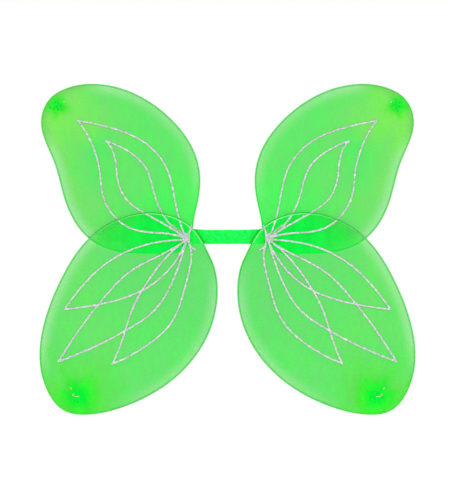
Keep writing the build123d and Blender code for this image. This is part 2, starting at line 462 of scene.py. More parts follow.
def band_material():
    """Padded satin knit with fine glitter flecks, and a painted shadow along the lower wings' wires."""
    shader = Shader("band_fabric").set(Roughness=0.62, Specular_IOR_Level=0.12)
    mottle = shader.noise(230.0, 5.0)
    tones = (colour(0, 238, 62), colour(30, 252, 98))
    base = shader.mix(shader.spread(mottle, 0.36, 0.64, 0, 1), *tones)
    # Painted shadow: darker green just outside the lower wings' edges, and a weaker painted shade under them
    base = shader.mix(shader.attribute("dent_and_shadow", "Fac"), base, colour(0, 214, 8))
    bright = shader.spread(shader.cells(900.0, "Distance"), 0.0, 0.25, 0.55, 0.0)
    patches = shader.spread(shader.noise(170.0, 2.0), 0.5, 0.62, 0.0, 1.0)
    flecks = shader.math("MULTIPLY", bright, patches)
    shader.tint(shader.mix(flecks, base, colour(150, 240, 130)))
    knit = {"Vector": shader.place(), "Scale": 900.0, "Distortion": 2.0}
    rows = shader.node("ShaderNodeTexWave", knit, bands_direction="X").outputs["Fac"]
    shader.bump(shader.math("ADD", mottle, shader.math("MULTIPLY", rows, 0.3)), 0.45, 0.0005)
    return shader.material


def glitter_material():
    """Glue line full of silver glitter, with green showing between the grains."""
    shader = Shader("silver_glitter").set(Roughness=0.4, Metallic=0.2)
    grain = shader.cells(850.0, "Color")
    tones = shader.mix(shader.spread(grain, 0.2, 0.8, 0, 1), colour(172, 158, 180), colour(255, 252, 255))
    sparse = shader.attribute("sparse", "Fac")
    patchy = shader.math("ADD", shader.noise(560.0, 3.0), shader.math("MULTIPLY", sparse, 0.07))
    gaps = shader.spread(patchy, 0.54, 0.62, 0.0, 0.8)
    green = shader.mix(sparse, colour(140, 200, 148), colour(56, 226, 96))
    shader.tint(shader.mix(gaps, tones, green))
    shader.bump(shader.cells(1500.0, "Distance"), 0.6, 0.0003)
    return shader.material


def flake_material():
    """Loose hexagonal flakes, each with its own tone."""
    shader = Shader("glitter_flakes").set(Roughness=0.28, Metallic=0.6)
    worn = shader.spread(shader.noise(2600.0, 2.0), 0.3, 0.7, 0.85, 1.0)
    shader.tint(shader.mix(1.0, shader.attribute("tint"), worn, "MULTIPLY"))
    return shader.material


def elastic_material():
    """Woven elastic: ribs along it and weft picks across it."""
    shader = Shader("woven_elastic").set(Roughness=0.75)
    along = shader.attribute("along", "Fac")
    across = shader.attribute("across", "Fac")
    picks = shader.math("SINE", shader.math("MULTIPLY", along, 2 * math.pi / PICK_LENGTH))
    ribs = shader.math("SINE", shader.math("MULTIPLY", across, math.pi * STRAP_RIBS))
    weave = shader.math("MULTIPLY", picks, ribs)
    base = shader.mix(shader.spread(weave, -1, 1, 0, 1), colour(28, 186, 66), colour(78, 236, 110))
    wear = shader.spread(shader.noise(160.0, 3.0), 0.35, 0.65, 0.88, 1.06)
    shader.tint(shader.mix(1.0, base, wear, "MULTIPLY"))
    shader.bump(weave, 0.5, 0.0002)
    return shader.material


def fibre_material(name, dark, light, scale, roughness):
    """Matted fibres: felt and batting."""
    shader = Shader(name).set(Roughness=roughness, Sheen_Weight=0.25, Sheen_Roughness=0.6)
    upright = shader.noise(scale, 8.0, (1, 1, 0.25))
    lying = shader.noise(scale, 8.0, (0.25, 1, 1))
    fibres = shader.math("MULTIPLY", upright, lying)
    shader.tint(shader.mix(shader.spread(fibres, 0.12, 0.36, 0, 1), dark, light))
    shader.bump(fibres, 0.8, 0.0006)
    return shader.material


def plain_material(name, dark, light, roughness, metallic=0.0, grain=800.0, stretch=(1, 1, 1)):
    """Small hard parts: two close tones in a fine grain."""
    shader = Shader(name).set(Roughness=roughness, Metallic=metallic)
    grainy = shader.noise(grain, 4.0, stretch)
    shader.tint(shader.mix(shader.spread(grainy, 0.3, 0.7, 0, 1), dark, light))
    shader.bump(grainy, 0.25, 0.0002)
    return shader.material


# ---- wings
TINTS = {
    "mid": np.array([0.030, 0.770, 0.050]),
    "outer": np.array([0.100, 0.740, 0.040]),
    "halo": np.array([0.150, 0.830, 0.012]),
    "pale": np.array([0.060, 0.740, 0.050]),
    "root": np.array([0.016, 0.940, 0.072]),
    "dull": np.array([0.022, 0.720, 0.052]),
    "worn": np.array([0.110, 0.620, 0.050]),
    # overlap: painted deeper green where the lower wing lies over the upper one, standing in for the upper
    # wing seen through it
    "overlap": np.array([0.000, 0.920, 0.060]),
    "blotch": np.array([0.000, 0.840, 0.028]),
    "speck": np.array([0.000, 0.480, 0.045]),
    # rim: slightly darker nylon round the wire, deepened into a painted contact shadow where the lower wing
    # lies over the upper wing or the band
    "rim": np.array([0.000, 0.440, 0.008]),
    "highlight": np.array([0.420, 0.950, 0.470]),
}


class Wing:
    """Outline and depths of one wing, read from its CAD nodes."""

    def __init__(self, side, sign, level):
        self.side, self.sign, self.level = side, sign, level
        self.name = f"{side}_{level}"
        self.body = f"{side}_{level}_wing"
        self.upper = level == "upper"
        self.lower = 1.0 - self.upper
        cover = points_of(f"{self.name}_nylon_cover")
        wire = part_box(f"{self.name}_frame_wire")
        self.middle = (wire[0].y + wire[1].y) / 2
        self.front = cover[:, 1].min()
        self.rim_r = self.middle - self.front
        joint = next(j for j in frame["joints"] if j["name"] == f"{self.name}_fan")
        self.hub = np.array([joint["pos_m"][0], joint["pos_m"][2]])
        self.tie_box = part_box(f"{self.name}_tip_tie")
        self.tip = centre_of(*self.tie_box)
        self.edge = self.find_edge(cover)
        self.outline = self.rim_columns()
        self.inward = self.find_inward()
        self.wire_line = self.outline + self.inward * self.rim_r
        self.pleat_reach = 0.85 * np.linalg.norm(self.wire_line - self.tip, axis=1).min()

    def find_edge(self, cover):
        """Even steps along the cover's outer edge, anticlockwise seen from the front."""
        flat = cover[np.abs(cover[:, 1] - self.front) < 1e-5][:, [0, 2]]
        away = flat - self.hub
        away = away[np.hypot(*away.T) > 2 * HUB_HOLE]
        edge = away[np.argsort(np.arctan2(away[:, 1], away[:, 0]))] + self.hub
        edge = np.vstack([edge, edge[:1]])
        length = np.concatenate([[0], np.cumsum(np.hypot(*np.diff(edge, axis=0).T))])
        steps = np.arange(EDGE_STEPS) / EDGE_STEPS * length[-1]
        return np.column_stack([np.interp(steps, length, edge[:, k]) for k in (0, 1)])

    def rim_columns(self):
        """Points along the edge, closer together where it is near the tip."""
        edge = np.vstack([self.edge, self.edge[:1]])
        away = edge - self.tip
        turn = np.unwrap(np.arctan2(away[:, 1], away[:, 0]))
        share = np.arange(len(edge)) / EDGE_STEPS + (turn - turn[0]) / (2 * math.pi)
        steps = np.arange(RIM_STEPS) / RIM_STEPS * share[-1]
        return np.column_stack([np.interp(steps, share, edge[:, k]) for k in (0, 1)])

    def find_inward(self):
        ahead = np.roll(self.outline, -2, axis=0) - np.roll(self.outline, 2, axis=0)
        inward = np.column_stack([-ahead[:, 1], ahead[:, 0]])
        return inward / np.linalg.norm(inward, axis=1)[:, None]

    def from_hub(self, flat):
        """Distance of each point from the hub."""
        return np.linalg.norm(flat - self.hub, axis=1)

    def area(self):
        x, z = self.edge.T
        return abs(np.sum(x * np.roll(z, -1) - z * np.roll(x, -1))) / 2

    def edge_distance(self, flat):
        """Distance of each point to the nearest step of the edge."""
        found = np.full(len(flat), 1.0)
        for start in range(0, len(flat), 4000):
            part = flat[start : start + 4000]
            gaps = (part[:, :1] - self.edge[:, 0]) ** 2 + (part[:, 1:] - self.edge[:, 1]) ** 2
            found[start : start + 4000] = np.sqrt(gaps.min(axis=1))
        return found

    def holds(self, flat):
        """True for each point inside the edge."""
        inside = np.zeros(len(flat), bool)
        x, z = flat[:, 0], flat[:, 1]
        before = np.roll(self.edge, 1, axis=0)
        for (x1, z1), (x2, z2) in zip(before, self.edge):
            if z1 == z2:
                continue
            crosses = (z1 > z) != (z2 > z)
            inside ^= crosses & (x < (x2 - x1) * (z - z1) / (z2 - z1) + x1)
        return inside

    def gather_reach(self, flat):
        """Distance from beside the tip, shorter and longer in turns along the creases that run into it."""
        outward, up = TIP_SHIFT[self.level]
        away = flat - self.tip - [self.sign * outward, up]
        reach = np.hypot(*away.T)
        turn = away * [self.sign, 1] / np.maximum(reach, 1e-6)[:, None]
        uneven = 0.3 if self.upper else 0.2
        return reach * (1 + uneven * wave_noise(turn, 1.1, 31 + self.upper))


BAND_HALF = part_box("centre_sleeve")[1].z
WINGS = {f"{side}_{level}": Wing(side, sign, level) for level in ("upper", "lower") for side, sign in SIDES}


def overlap(wing, flat):
    """Shares of a wing that lie over the upper wing of its side, and over that or the band."""
    under = np.zeros(len(flat))
    if wing.upper:
        return under, under
    under = WINGS[f"{wing.side}_upper"].holds(flat).astype(float)
    hub_reach = wing.from_hub(flat)
    on_band = (np.abs(flat[:, 1]) < BAND_HALF) & (hub_reach < 45 * MM)
    return under, np.where(on_band, 1.0, under)


def rim_tones(wing, flat, edge):
    """Shares of the worn and the pale tone along the edge."""
    clear = (30 * MM, 68 * MM) if wing.upper else (38 * MM, 82 * MM)
    reach = np.linalg.norm(flat - wing.tip, axis=1)
    hub_reach = wing.from_hub(flat)
    inward_of_tip = smoothstep(0, 40 * MM, wing.sign * (wing.tip[0] - flat[:, 0]))
    low_edge = inward_of_tip * fade(60 * MM, 120 * MM, reach) * wing.lower
    away_from_tip = smoothstep(*clear, reach) * (1 - 0.6 * low_edge)
    worn = fade(2 * MM, 13 * MM, edge) * (1 - away_from_tip) * (0.7 if wing.upper else 0.0)
    pale = fade(2 * MM, 19 * MM, edge) * away_from_tip * smoothstep(30 * MM, 90 * MM, hub_reach)
    return worn, pale * (0.75 + 0.25 * smoothstep(0.10, 0.16, np.abs(flat[:, 0])))


def hub_tones(wing, flat, under):
    """Shares of the strong tone at the root of the wing and of the dull one beyond it."""
    hub_reach = wing.from_hub(flat)
    beside_band = fade(BAND_HALF - 2 * MM, BAND_HALF + 10 * MM, np.abs(flat[:, 1]))
    near_band = beside_band * fade(20 * MM, 60 * MM, hub_reach)
    # On the lower wing the strong root tone is painted only where the upper wing or the band lies behind,
    # standing in for them seen through the nylon
    strength = 0.7 if wing.upper else np.maximum(under, near_band)
    root = fade(45 * MM, 115 * MM, hub_reach) * strength
    dull = fade(60 * MM, 160 * MM, hub_reach) * (1 - under) * wing.lower
    return root, dull


def nylon_paint(wing, flat, edge):
    """Tint, density and dark gathers of the nylon at each point of a wing, with a painted highlight and a
    painted shadow along the lower wings' rims where something lies behind them.
    """
    crease = wing.gather_reach(flat)
    mottle = 0.5 + 0.5 * wave_noise(flat * [wing.sign, 1], 90 * MM, 11)
    at_hub = fade(25 * MM, 100 * MM, wing.from_hub(flat))
    under, backed = overlap(wing, flat)
    worn, pale = rim_tones(wing, flat, edge)
    root, dull = hub_tones(wing, flat, under)
    halo = fade(22 * MM, 78 * MM, crease) * (0.6 + 0.4 * mottle)
    blotch_r = (2 * MM, 22 * MM) if wing.upper else (5 * MM, 38 * MM)
    blotch = fade(*blotch_r, crease) ** 1.2 * (0.94 if wing.upper else 1.0)
    glint = backed * (0.35 + 0.5 * at_hub)
    # Yellower towards the outer ends of the wings
    yellower_outward = (0.9 if wing.upper else 0.45) * smoothstep(0.10, 0.2, np.abs(flat[:, 0]))
    shares = [
        ("outer", yellower_outward * mottle),
        ("pale", pale),
        ("halo", (0.8 if wing.upper else 0.3) * halo),
        ("worn", worn),
        ("dull", dull),
        ("root", root),
        # Painted deeper green over the upper wing, standing in for it seen through the nylon
        ("overlap", under * (0.6 + 0.4 * at_hub)),
        ("blotch", blotch),
        ("highlight", glint * fade(0.0, 0.75 * MM, np.abs(edge - 1.9 * MM))),
        # Dark rim: slightly darker on free edges, and a painted contact shadow where the wing is backed
        ("rim", (0.08 + 0.75 * backed) * fade(0.7 * MM, 1.2 * MM, edge)),
    ]
    tint = np.tile(TINTS["mid"], (len(flat), 1))
    for name, share in shares:
        tint = tint + (TINTS[name] - tint) * share[:, None]
    density = 0.68 - 0.21 * pale - 0.02 * dull + 0.12 * root + 0.3 * blotch
    density += (0.02 if wing.upper else 0.12) * halo - 0.08 * under * (1 - at_hub)
    # Denser at the rim where backed, under the painted highlight and painted shadow; a little thinner on
    # free edges
    density += (0.3 * backed - 0.06) * fade(1.6 * MM, 2.6 * MM, edge)
    gather = fade(5 * MM, 13 * MM, crease) * (1.0 if wing.upper else 0.5)
    return tint, np.clip(density, 0, 0.985), gather


def sheet_gap(wing, flat, seed):
    """Distance of a sheet from the wing's middle: full at the rim, less inside, a little uneven."""
    edge = wing.edge_distance(flat) - wing.rim_r
    gap = SHEET_GAP + (wing.rim_r - SHEET_GAP) * np.exp(-np.maximum(edge, 0) / RIM_DIP)
    away = flat - wing.hub
    drift = wave_noise(flat, 60 * MM, seed)
    angle = np.arctan2(away[:, 1], away[:, 0])
    pleats = np.cos(angle * HUB_PLEATS + 3 * drift) * np.exp(-wing.from_hub(flat) / HUB_PLEAT_REACH)
    uneven = pleats * HUB_PLEAT_DEPTH + drift * SHEET_DRIFT
    return gap + uneven * smoothstep(1 * MM, 10 * MM, edge)


def front_rows(wing):
    """Front sheet from the hole at the hub out to the wire."""
    angle = np.arctan2(*(wing.wire_line - wing.hub)[:, ::-1].T)
    ring = wing.hub + HUB_HOLE * np.column_stack([np.cos(angle), np.sin(angle)])
    rows = []
    for share in 1 - (1 - np.linspace(0, 1, SHEET_STEPS)) ** ROW_EASE:
        flat = ring + (wing.wire_line - ring) * share
        depth = wing.middle - sheet_gap(wing, flat, 3)
        rows.append(np.column_stack([flat[:, 0], depth, flat[:, 1]]))
    rows[-1][:, 1] = wing.middle - wing.rim_r
    return rows


def rim_rows(wing):
    """Nylon wrapped round the wire, from front to back."""
    rows = []
    for step in range(1, ARC_STEPS):
        turn = -math.pi / 2 + math.pi * step / ARC_STEPS
        out = wing.wire_line - wing.inward * wing.rim_r * math.cos(turn)
        depth = np.full(len(out), wing.middle + wing.rim_r * math.sin(turn))
        rows.append(np.column_stack([out[:, 0], depth, out[:, 1]]))
    return rows


def neck_rings():
    """Radius, rise and depth of pleats of each ring: neck, frill, and the closed middle of the frill."""
    rings = [(NECK_R, NECK_LENGTH * 0.5, 0.06), (NECK_R, NECK_LENGTH, 0.06)]
    for share in np.linspace(0, 1, FRILL_STEPS)[1:]:
        radius = NECK_R + (FRILL_R - NECK_R) * share
        rings.append((radius, NECK_LENGTH + FRILL_RISE * share**0.7, 0.06 + 0.1 * share))
    for share in (0.85, 0.6, 0.3, 0.04):
        rings.append((FRILL_R * share, NECK_LENGTH + FRILL_RISE * (0.35 + 0.6 * share), 0.15 * share))
    return rings


def back_rows(wing):
    """Back sheet from the wire in to the tip, then the tied neck and the cut frill."""
    away = wing.wire_line - wing.tip
    full = np.hypot(*away.T)
    turn = away / full[:, None]
    angle = np.unwrap(np.arctan2(away[:, 1], away[:, 0]))
    wander = wave_noise(turn, 1.7, 5 + wing.upper)
    waves = np.cos(angle * TIP_PLEATS + 1.5 * wander)
    rows = []
    for step in np.linspace(1, 0, SHEET_STEPS):
        share = (1 - (1 - step) ** ROW_EASE) ** 1.5
        reach = NECK_R + (full - NECK_R) * share
        flat = wing.tip + reach[:, None] * turn
        drawn = fade(NECK_R, wing.pleat_reach, reach)
        rise = drawn**2.2 * NECK_RISE + drawn * (1 - 0.6 * drawn) * waves * 0.5 * MM
        depth = wing.middle + sheet_gap(wing, flat, 7) * (1 - drawn) + SHEET_GAP * drawn + rise
        rows.append(np.column_stack([flat[:, 0], depth, flat[:, 1]]))
    rows[0][:, 1] = wing.middle + wing.rim_r
    base = wing.middle + SHEET_GAP + NECK_RISE
    for radius, rise, depth in neck_rings():
        flat = wing.tip + turn * (radius * (1 + depth * waves + depth * wander))[:, None]
        rows.append(np.column_stack([flat[:, 0], base + rise + depth * waves * MM, flat[:, 1]]))
    return rows


def nylon_cover(wing):
    """Bag of nylon in one piece: front sheet, rim round the wire, back sheet and tied end."""
    rows = front_rows(wing) + rim_rows(wing) + back_rows(wing)
    points = np.vstack(rows)
    made = new_mesh(f"{wing.name}_nylon", points, grid_faces(len(rows), RIM_STEPS))
    flat = points[:, [0, 2]]
    tint, density, gather = nylon_paint(wing, flat, wing.edge_distance(flat))
    paint(made, "tint", tint)
    store(made, "nylon_density", density)
    store(made, "gather", gather * np.where(points[:, 1] < wing.middle, 1.0, 0.4))
    made.data.materials.append(NYLON)
    return made


def soft_copy(node, name, voxel, soften):
    """Even, rounded mesh of a CAD node to work on."""
    made = placed(name, frame["nodes"][node].data.copy())
    made.data.materials.clear()
    return remeshed(made, voxel, soften)


def glitter_line(wing):
    """Raised, uneven line of glitter glue over the CAD lines."""
    made = soft_copy(f"{wing.name}_glitter_veins", f"{wing.name}_glitter", BEAD_VOXEL, 3)
    points = read_points(made.data)
    lumps = wave_noise(points * [1, 0, 1], 6 * MM, 21)
    push = (0.4 * lumps - 0.22) * MM
    write_points(made.data, points + read_normals(made.data) * push[:, None] * [1, 0.5, 1])
    reach = np.hypot(*((points[:, [0, 2]] - wing.hub) / HUB_PATCH).T)
    store(made, "sparse", fade(0.7, 1.4, reach) * wing.lower)
    made.data.materials.append(GLITTER)
    return made


FLAKE_TONES = np.array([
    srgb(226, 214, 232),
    srgb(255, 252, 255),
    srgb(164, 152, 176),
    srgb(238, 206, 234),
    srgb(170, 214, 184),
])


def flakes(name, places, normals, draw):
    """Hexagonal flakes standing at all angles in the glue."""
    count = len(places)
    tilt = normals + draw.normal(scale=0.42, size=(count, 3))
    tilt /= np.linalg.norm(tilt, axis=1)[:, None]
    first = np.cross(tilt, draw.normal(size=(count, 3)))
    first /= np.linalg.norm(first, axis=1)[:, None]
    second = np.cross(tilt, first)
    size = draw.uniform(*FLAKE_SIZE, count)
    corners = []
    for corner in range(6):
        turn = corner * math.pi / 3
        corners.append(places + (first * math.cos(turn) + second * math.sin(turn)) * size[:, None])
    points = np.stack(corners, axis=1).reshape(-1, 3)
    faces = [tuple(range(6 * k, 6 * k + 6)) for k in range(count)]
    made = new_mesh(name, points, faces, smooth=False)
    paint(made, "tint", np.repeat(FLAKE_TONES[draw.integers(0, len(FLAKE_TONES), count)], 6, axis=0))
    made.data.materials.append(FLAKES)
    return made


def hub_flakes(wing, draw):
    """Places of the loose flakes round the hub and in the trails beside it."""
    flat = wing.hub + np.array([wing.sign, 1]) * HUB_SHIFT
    flat = flat + draw.normal(size=(HUB_FLAKES, 2)) * HUB_SPREAD / 2
    for start, end, count, spread in TRAILS:
        share = draw.uniform(size=(count, 1))
        trail = np.array(start) * (1 - share) + np.array(end) * share
        trail = (trail + draw.normal(scale=spread, size=(count, 2))) * [wing.sign, 1] * MM
        flat = np.vstack([flat, trail])
    farthest, nearest = HUB_HEIGHT
    depth = draw.uniform(wing.front - farthest, wing.front - nearest, len(flat))
    return np.column_stack([flat[:, 0], depth, flat[:, 1]])


def line_flakes(wing, line, seed):
    """Flakes over a glitter line, and on the lower wing a loose cluster round the hub."""
    draw = np.random.default_rng(seed)
    centres = read_vectors(line.data.polygons, "center")
    normals = read_vectors(line.data.polygons, "normal")
    facing = np.flatnonzero(normals[:, 1] < -0.15)
    chosen = draw.choice(facing, FLAKES_PER_WING // (2 if wing.upper else 1))
    outward = normals[chosen]
    places = centres[chosen] + outward * FLAKE_LIFT
    if not wing.upper:
        loose = hub_flakes(wing, draw)
        places = np.vstack([places, loose])
        outward = np.vstack([outward, np.tile([0.0, -1.0, 0.0], (len(loose), 1))])
    return flakes(f"{wing.name}_flakes", places, outward, draw)


def spiral(centre, radius, start, end, turns, steps=18):
    """Turns of thread round an axis along Y, radius given at both ends."""
    share = np.linspace(0, 1, int(turns * steps) + 1)
    turn = share * turns * 2 * math.pi
    out = radius[0] + (radius[1] - radius[0]) * share
    x, z = centre[0] + out * np.cos(turn), centre[1] + out * np.sin(turn)
    return np.column_stack([x, start + (end - start) * share, z])


def arch(centre, depth, half, rise, angle, steps=14):
    """Stitch that leaves the cloth, rises to the front and goes in again."""
    turn = np.linspace(0, math.pi, steps)
    along = -half * np.cos(turn)
    x, z = centre[0] + along * math.cos(angle), centre[1] + along * math.sin(angle)
    return np.column_stack([x, depth - rise * np.sin(turn), z])


def hub_lashing(side):
    """Thread wound through both wings: turns round the shank and crossed stitches in front."""
    node = f"{side}_hub_tie"
    low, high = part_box(node)
    centre = centre_of(low, high)
    head_r = (high.x - low.x) / 2 - THREAD_R
    head = low.y + 1.0 * MM
    foot = high.y - 2 * THREAD_R
    shank = (LASHING_SHANK_R, LASHING_SHANK_R + 0.1 * MM)
    draw = np.random.default_rng(61)
    paths = [spiral(centre, (head_r, LASHING_SHANK_R), high.y - THREAD_R, foot, 3)]
    paths.append(spiral(centre, shank, foot, head, LASHING_TURNS))
    for step in range(LASHING_STITCHES):
        middle = centre + draw.normal(scale=0.35, size=2) * MM
        angle = step * math.pi * 0.62
        rise = draw.uniform(0.4, 0.75) * MM
        paths.append(arch(middle, head, head_r * draw.uniform(0.7, 0.95), rise, angle))
    made = threads(f"{side}_hub_lashing", paths, THREAD_R)
    made.data.materials.append(SMALL["silver"])
    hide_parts(node)
    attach(made, f"{side}_arm")


def tip_thread(wing):
    """Thread wound round the neck of the gathered nylon, its two ends left hanging."""
    low, high = wing.tie_box
    turns = spiral(wing.tip, (NECK_R * 1.12, NECK_R * 1.16), low.y, high.y, 5)
    paths = [turns]
    fall = np.linspace(0, 1, 10)[:, None]
    droop = np.array([0, 0, -TAIL_DROOP]) * fall**2
    for end, lean in ((turns[-1], 0.5), (turns[0], 2.2)):
        away = np.array([math.cos(lean), 0.3, math.sin(lean) - 0.9]) * TAIL_LENGTH
        paths.append(end + away * fall + droop)
    made = threads(f"{wing.name}_tip_thread", paths, THREAD_R)
    made.data.materials.append(SMALL["pale"])
    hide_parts(f"{wing.name}_tip_tie")
    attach(made, wing.body)


# Pale stitches that show in front at the tips: (outward, up, half length, angle), in mm and degrees
TIP_STITCHES = {
    "upper": [(-7.3, 4.2, 1.1, 20)],
    "lower": [(6.1, 6.0, 1.3, 70), (-1.2, -4.6, 3.1, 4), (3.4, -2.4, 1.2, 120)],
}


def tip_stitches(wing):
    """Pale stitches through the front sheet beside the knot."""
    paths = []
    for outward, up, half, angle in TIP_STITCHES[wing.level]:
        middle = wing.tip + np.array([outward * wing.sign, up]) * MM
        lean = math.radians(angle) * wing.sign
        paths.append(arch(middle, wing.middle - SHEET_GAP, half * MM, STITCH_RISE, lean))
    made = threads(f"{wing.name}_tip_stitches", paths, STITCH_R)
    made.data.materials.append(SMALL["pale"])
    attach(made, wing.body)


# ---- band
def puffed(made, held, swell):
    """Blow the mesh up as cloth under pressure, each point moved by swell at most."""
    scene = bpy.context.scene
    before = read_points(made.data)
    write_points(made.data, before * SIM_SCALE)
    group = made.vertex_groups.new(name="held")
    group.add([int(k) for k in np.flatnonzero(held)], 1.0, "REPLACE")
    cloth = made.modifiers.new("cloth", "CLOTH")
    cloth.point_cache.frame_start = 1
    cloth.point_cache.frame_end = SIM_FRAMES
    for key, value in CLOTH.items():
        setattr(cloth.settings, key, value)
    cloth.settings.effector_weights.gravity = 0.0
    cloth.settings.vertex_group_mass = "held"
    for step in range(1, SIM_FRAMES + 1):
        scene.frame_set(step)
    applied(made)
    scene.frame_set(1)
    move = read_points(made.data) / SIM_SCALE - before
    length = np.linalg.norm(move, axis=1)
    share = swell * np.tanh(length / swell) / np.maximum(length, 1e-9)
    write_points(made.data, before + move * share[:, None])


def band_tube():
    """Plain closed tube over the whole band, a little smaller than the space it swells into."""
    low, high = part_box("centre_sleeve")
    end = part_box("right_arm_sleeve")[1].x
    middle = (low.y + high.y) / 2
    deep = (high.y - low.y) / 2 - BAND_SWELL / 2
    tall = high.z + BAND_SWELL
    turn = np.arange(BAND_COLUMNS) / BAND_COLUMNS * 2 * math.pi
    side, up = np.cos(turn), np.sin(turn)
    points = []
    for x in np.linspace(-end + BAND_SWELL / 2, end - BAND_SWELL / 2, BAND_ROWS):
        close = max(0.0, (abs(x) - (end - 2 * MM)) / (2 * MM))
        taper = math.sqrt(max(0.08, 1 - close * close))
        y = middle + deep * taper * np.sign(side) * np.abs(side) ** 0.55
        z = tall * (1 - 0.06 * (1 - taper)) * np.sign(up) * np.abs(up) ** 0.35
        z = z + BAND_FLARE * smoothstep(FLARE_START, end, abs(x)) * (z > 0)
        points.append(np.column_stack([np.full(BAND_COLUMNS, x), y, z]))
    return new_mesh("band_cover", np.vstack(points), tube_faces(BAND_ROWS, BAND_COLUMNS))


def wing_dent_and_shadow(points, middle):
    """Share of the press of the lower wings on the front of the band at each point, which also sets the
    painted shadow: full at and just outside their edges, 0.35 under them.
    """
    flat = points[:, [0, 2]]
    wings = [WINGS[f"{side}_lower"] for side, _ in SIDES]
    gap = np.minimum(*[wing.edge_distance(flat) for wing in wings])
    covered = np.logical_or(*[wing.holds(flat) for wing in wings])
    return np.where(covered, 0.35, np.exp(-((gap / DENT_AND_SHADOW_REACH) ** 4))) * (points[:, 1] < middle)


def band_cover():
    """Padded cover: seam along the bottom, puckers at the ends, swollen between."""
    made = remeshed(band_tube(), BAND_VOXEL, 2)
    points = read_points(made.data)
    low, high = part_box("centre_sleeve")
    middle = (low.y + high.y) / 2
    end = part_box("right_arm_sleeve")[1].x
    reach = np.abs(points[:, 0])
    seam = (np.abs(points[:, 1] - middle) < 0.9 * MM) & (points[:, 2] < 0)
    closing = reach > end - 2.4 * MM
    puffed(made, seam | closing, BAND_SWELL)
    made.modifiers.new("finer", "SUBSURF").levels = 1
    applied(made)
    points = read_points(made.data)
    reach = np.abs(points[:, 0])
    turn = np.arctan2(points[:, 2] / high.z, (points[:, 1] - middle) / (high.y - middle))
    drift = wave_noise(points, 16 * MM, 17)
    at_ends = smoothstep(end - 11 * MM, end - 2 * MM, reach)
    gathers = np.cos(turn * BAND_PUCKERS + 2 * drift) * at_ends * 0.22
    push = (gathers + 0.1 * drift) * MM
    points += read_normals(made.data) * push[:, None]
    points[:, 1] = np.clip(points[:, 1], low.y - 0.4 * MM, high.y + 0.05 * MM)
    # The same share dents the band and paints the wings' shadow on it
    dent_and_shadow = wing_dent_and_shadow(points, middle)
    points[:, 1] += PRESS_DEPTH * dent_and_shadow
    write_points(made.data, points)
    store(made, "dent_and_shadow", dent_and_shadow)
    made.data.materials.append(BAND)
    return made


def half_of(whole, name, sign):
    """The part of a mesh on one side of the middle."""
    mesh = bmesh.new()
    mesh.from_mesh(whole.data)
    everything = mesh.verts[:] + mesh.edges[:] + mesh.faces[:]
    outward = (-sign, 0, 0)
    bmesh.ops.bisect_plane(mesh, geom=everything, plane_co=(0, 0, 0), plane_no=outward, clear_outer=True)
    data = whole.data.copy()
    mesh.to_mesh(data)
    mesh.free()
    return placed(name, data)


def band():
    """Cover of the band in two halves, split at the middle."""
    whole = band_cover()
    for side, sign in SIDES:
        made = half_of(whole, f"{side}_band_cover", sign)
        nodes = [f"{side}_sleeve_fold", f"{side}_arm_sleeve", "centre_sleeve"]
        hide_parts(*nodes)
        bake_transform(made)
    bpy.data.objects.remove(whole)


def wadding(node, body):
    """Loose batting inside the cover."""
    made = soft_copy(node, f"{node}_wadding", 0.7 * MM, 4)
    points = read_points(made.data)
    tufts = 0.5 + 0.5 * wave_noise(points, TUFT_SIZE, 23)
    write_points(made.data, points - read_normals(made.data) * tufts[:, None] * TUFT_DEPTH)
    made.data.materials.append(SMALL["batting"])
    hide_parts(node)
    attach(made, body)


def stay_bend(side):
    """Stretch of the soft flat stay at the fold."""
    node = f"{side}_stay_bend"
    low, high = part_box(node)
    steps = 13
    corners = []
    for x in np.linspace(low.x, high.x, steps):
        corners += [(x, low.y, low.z), (x, high.y, low.z), (x, high.y, high.z), (x, low.y, high.z)]
    made = new_mesh(f"{side}_stay_fold", corners, tube_faces(steps, 4), smooth=False)
    bevel = made.modifiers.new("edge", "BEVEL")
    bevel.width = 0.15 * MM
    bevel.limit_method = "ANGLE"
    applied(made)
    made.data.materials.append(SMALL["aluminium"])
    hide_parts(node)
    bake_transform(made)


def felt_pad():
    """Crowned felt pad, flat behind, sewn round its edge."""
    made = soft_copy("back_pad", "back_pad_felt", 0.55 * MM, 6)
    low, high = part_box("back_pad")
    points = read_points(made.data)
    share = (high.y - points[:, 1]) / (high.y - low.y)
    inset = np.minimum(high.x - np.abs(points[:, 0]), high.z - np.abs(points[:, 2]))
    sink = PAD_CROWN * np.exp(-np.maximum(inset, 0) / PAD_EDGE) * (1 - share)
    points[:, 1] -= sink
    nap = wave_noise(points, 2.4 * MM, 27) * PAD_NAP
    points += read_normals(made.data) * nap[:, None]
    points[:, 1] = np.minimum(points[:, 1], high.y)
    write_points(made.data, points)
    made.data.materials.append(SMALL["felt"])
    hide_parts("back_pad")
    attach(made, "centre")
    return low, high


def pad_stitches(low, high):
    """Overcast stitches that hold the pad's edge to the band."""
    paths = []
    half = (high.x - PAD_INSET, high.z - PAD_INSET)
    top = high.y - 0.75 * MM
    for x_side, z_side, count in ((1, 0, 6), (-1, 0, 6), (0, 1, 8), (0, -1, 8)):
        x_out = x_side * PAD_STITCH_REACH + abs(z_side) * PAD_STITCH_LEAN
        z_out = z_side * PAD_STITCH_REACH + abs(x_side) * PAD_STITCH_LEAN
        for place in np.linspace(-0.68, 0.68, count):
            x = x_side * half[0] if x_side else place * high.x
            z = z_side * half[1] if z_side else place * high.z
            path = [
                (x, top - 0.9 * MM, z),
                (x, top, z),
                (x + x_out * 0.6, top + 0.1 * MM, z + z_out * 0.6),
                (x + x_out, top - 0.5 * MM, z + z_out),
                (x + x_out, low.y + 0.1 * MM, z + z_out),
            ]
            paths.append(smooth_route(path, 3))
    made = threads("pad_stitches", paths, PAD_THREAD_R, 6)
    made.data.materials.append(SMALL["thread"])
    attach(made, "centre")


